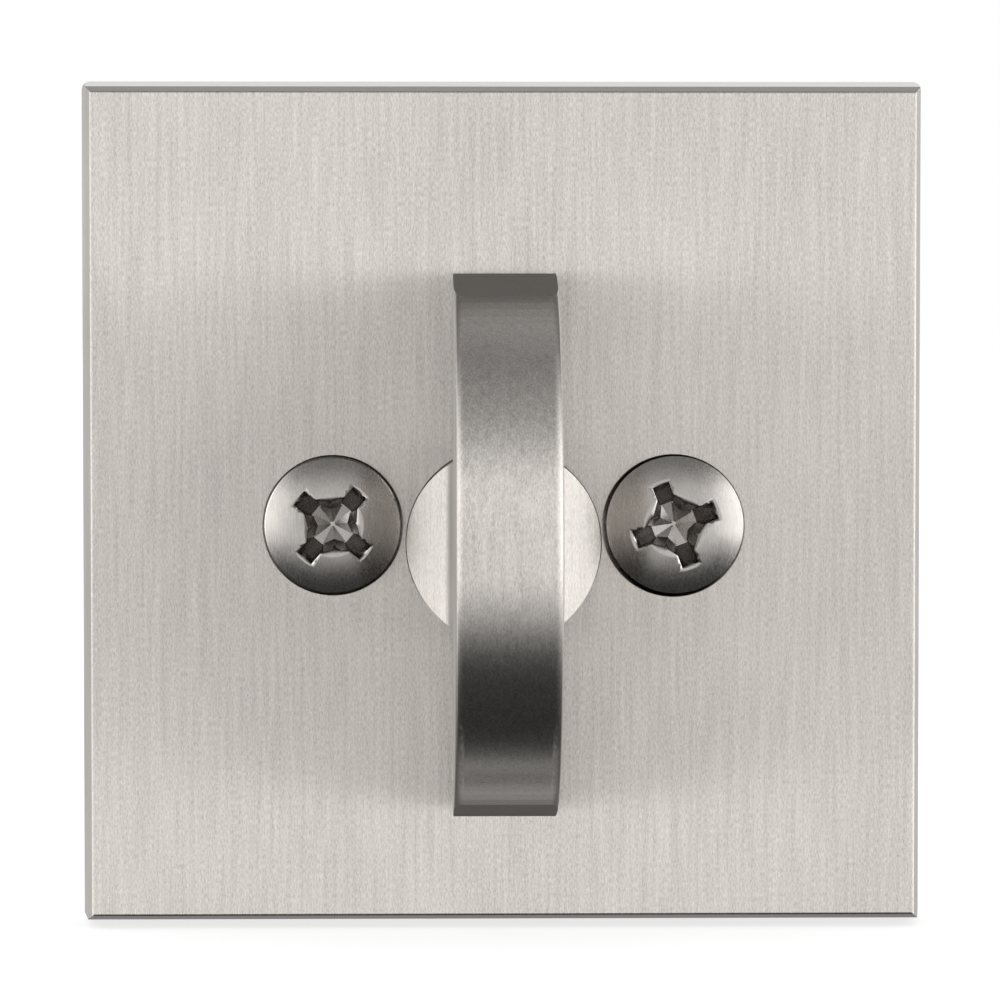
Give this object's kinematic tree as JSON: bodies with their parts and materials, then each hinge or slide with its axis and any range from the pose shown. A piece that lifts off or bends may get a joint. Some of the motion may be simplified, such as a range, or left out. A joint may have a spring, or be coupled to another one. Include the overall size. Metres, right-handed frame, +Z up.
{
  "type": "deadbolt thumbturn",
  "caption": "Inside half of a square deadbolt: an arched thumbturn on a drafted square rose, with oval-head through-bolts, stop plate and tailpiece behind.",
  "frame": {"origin": "on the turn's axis, in the plane of the rose's back rim, which lies on the door's face", "axes": "+Y along the turn's axis into the door, -Y into the room, +Z up, +X to the right seen from the room"},
  "size_m": [0.0688, 0.077, 0.0688],
  "materials": {
    "satin_nickel": "satin nickel plate, brushed vertically",
    "bolt_steel": "nickel-plated steel, fine polishing marks",
    "zinc_plated_steel": "clear zinc plate",
    "backing_steel": "zinc-plated cold-rolled sheet",
    "tail_steel": "rolled bright steel strip",
    "pin_steel": "ground hardened steel",
    "spring_steel": "blued spring steel, oiled",
    "acetal": "natural acetal, moulded",
    "nylon": "natural nylon, moulded"
  },
  "bodies": {
    "rose": {"rose_plate": "satin_nickel", "spindle_bushing": "acetal", "thrust_washer": "zinc_plated_steel", "stop_pin_start": "pin_steel", "stop_pin_finish": "pin_steel", "backing_plate": "backing_steel", "plate_screw_lower_left": "zinc_plated_steel", "plate_screw_lower_right": "zinc_plated_steel", "plate_screw_upper_left": "zinc_plated_steel", "plate_screw_upper_right": "zinc_plated_steel", "through_bolt_left": "bolt_steel", "through_bolt_right": "bolt_steel", "bolt_retainer_left": "nylon", "bolt_retainer_right": "nylon"},
    "turn": {"turn_piece": "satin_nickel", "spring_washer": "spring_steel", "stop_plate": "zinc_plated_steel", "retaining_clip": "spring_steel", "tailpiece": "tail_steel", "tailpiece_pin": "pin_steel"}
  },
  "joints": [
    {"name": "turn", "type": "hinge", "parent": "rose", "child": "turn", "pos_m": [0, 0, 0], "axis": [0, 1, 0], "range_deg": [0, 90]}
  ]
}
